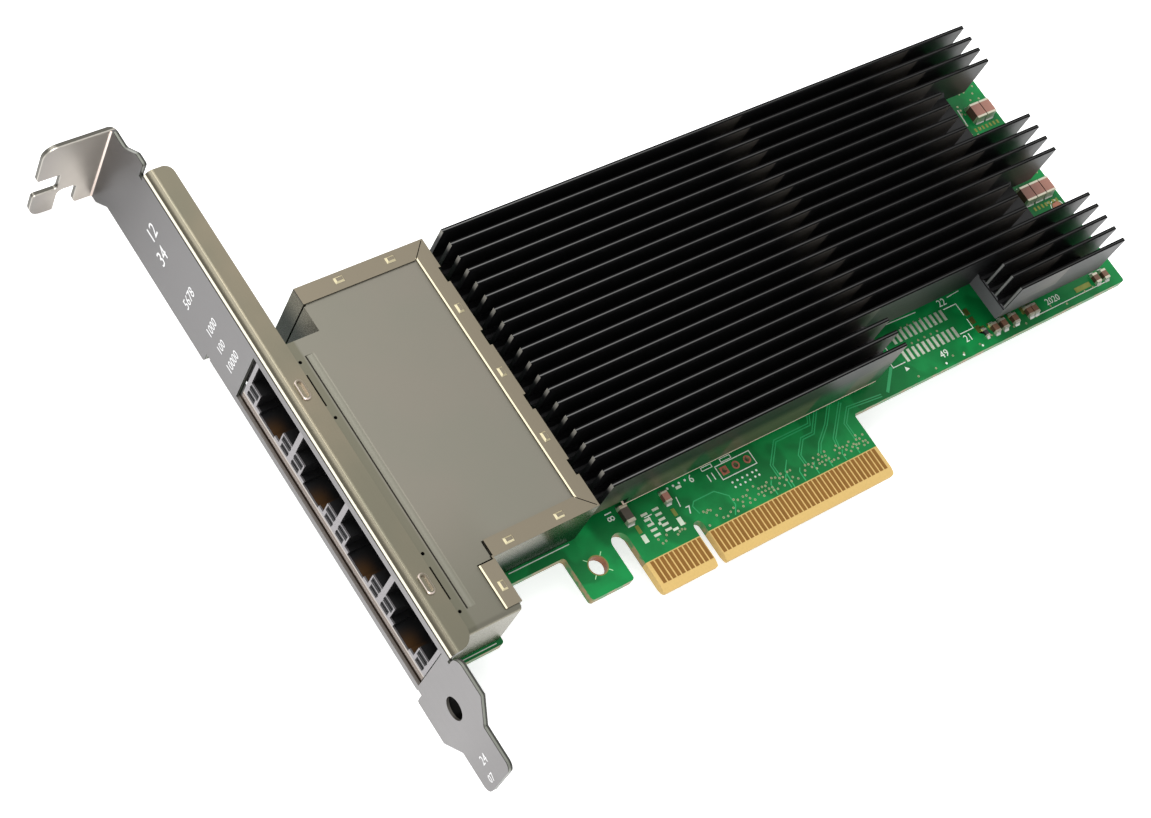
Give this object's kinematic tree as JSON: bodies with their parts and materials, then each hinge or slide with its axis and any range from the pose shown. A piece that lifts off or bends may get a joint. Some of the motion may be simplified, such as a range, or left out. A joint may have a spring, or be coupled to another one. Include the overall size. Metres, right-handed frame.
{
  "type": "network interface card",
  "caption": "Network interface card with ganged modular jacks, a full-height mounting bracket, a finned heat sink and a card-edge connector.",
  "frame": {"origin": "middle of the key notch of the edge connector, at the connector's lower edge, on the component side of the circuit board", "axes": "+X along the fins, away from the bracket; +Y up the bracket, towards its screw tab; +Z out of the component side of the board"},
  "size_m": [0.1795, 0.12, 0.0223],
  "materials": {
    "board_laminate": "green solder mask",
    "gold_contacts": "gold plated",
    "bracket_steel": "nickel plated",
    "shield_tin": "warm matt nickel",
    "black_anodised": "black anodised",
    "black_plastic": "moulded",
    "clear_lens": "unlit light guide",
    "chip_black": "moulded",
    "ceramic_grey": "fired ceramic",
    "ceramic_brown": "fired ceramic",
    "tinned_metal": "tinned",
    "steel_screw": "zinc plated",
    "gap_pad": "soft silicone"
  },
  "bodies": {
    "root": {"circuit_board": "board_laminate", "edge_contacts_front": "gold_contacts", "edge_contacts_back": "gold_contacts", "bracket": "bracket_steel", "shield_cover": "shield_tin", "shield_skirt": "shield_tin", "jack_housing": "black_plastic", "indicator_lenses": "clear_lens", "port_contacts_1": "gold_contacts", "port_contacts_2": "gold_contacts", "port_contacts_3": "gold_contacts", "port_contacts_4": "gold_contacts", "magnetics_module_1": "black_plastic", "magnetics_module_2": "black_plastic", "magnetics_module_3": "black_plastic", "magnetics_module_4": "black_plastic", "jack_pins": "tinned_metal", "heat_sink": "black_anodised", "heat_sink_screws": "steel_screw", "thermal_pad": "gap_pad", "controller_chip": "chip_black", "phy_chip_1": "chip_black", "phy_chip_2": "chip_black", "phy_chip_3": "chip_black", "phy_chip_4": "chip_black", "power_inductors": "ceramic_grey", "flash_chip": "chip_black", "clock_crystal": "tinned_metal", "regulator_chips": "chip_black", "bulk_capacitors": "ceramic_brown", "edge_capacitors": "ceramic_brown", "underside_capacitors": "ceramic_brown", "ferrite_bead": "ceramic_grey", "bypass_capacitor": "ceramic_brown", "chip_resistor": "ceramic_grey", "connector_pads": "tinned_metal", "jumper_pads": "gold_contacts"}
  },
  "joints": []
}
